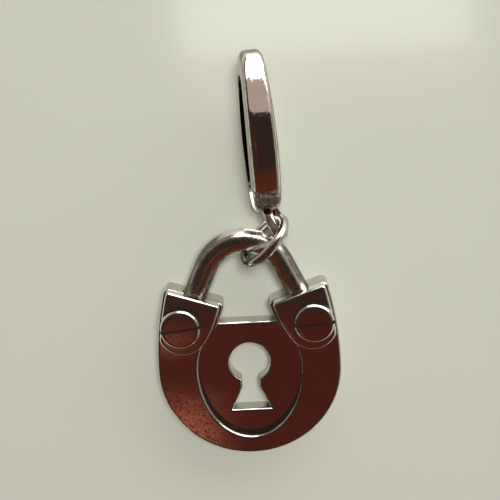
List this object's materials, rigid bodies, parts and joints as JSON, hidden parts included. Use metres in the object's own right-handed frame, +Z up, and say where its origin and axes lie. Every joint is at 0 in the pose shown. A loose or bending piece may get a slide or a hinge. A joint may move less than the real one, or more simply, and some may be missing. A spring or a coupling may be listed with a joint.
{
  "type": "padlock charm",
  "caption": "Padlock-shaped silver charm with screwed cheeks, a round shackle, a jump ring and an oval clip carrier for hanging it on a bracelet or chain",
  "frame": {"origin": "Middle of the charm's bounding box at its bottom, on the surface it lies on", "axes": "+Y runs along the charm from the foot of the lock to the far end of the carrier, +Z is up, out of the lock's front, and +X is to the right seen from above with the carrier at the top"},
  "size_m": [0.0184, 0.0402, 0.0068],
  "materials": {
    "silver_body": "polished",
    "silver_cheeks": "polished",
    "silver_screws": "polished",
    "silver_shackle": "polished",
    "silver_ring": "polished",
    "silver_carrier": "polished",
    "silver_gate": "polished"
  },
  "bodies": {
    "root": {"lock_body": "silver_body", "left_cheek": "silver_cheeks", "right_cheek": "silver_cheeks", "left_screw": "silver_screws", "right_screw": "silver_screws", "shackle": "silver_shackle", "jump_ring": "silver_ring", "carrier": "silver_carrier", "carrier_gate": "silver_gate"}
  },
  "joints": []
}
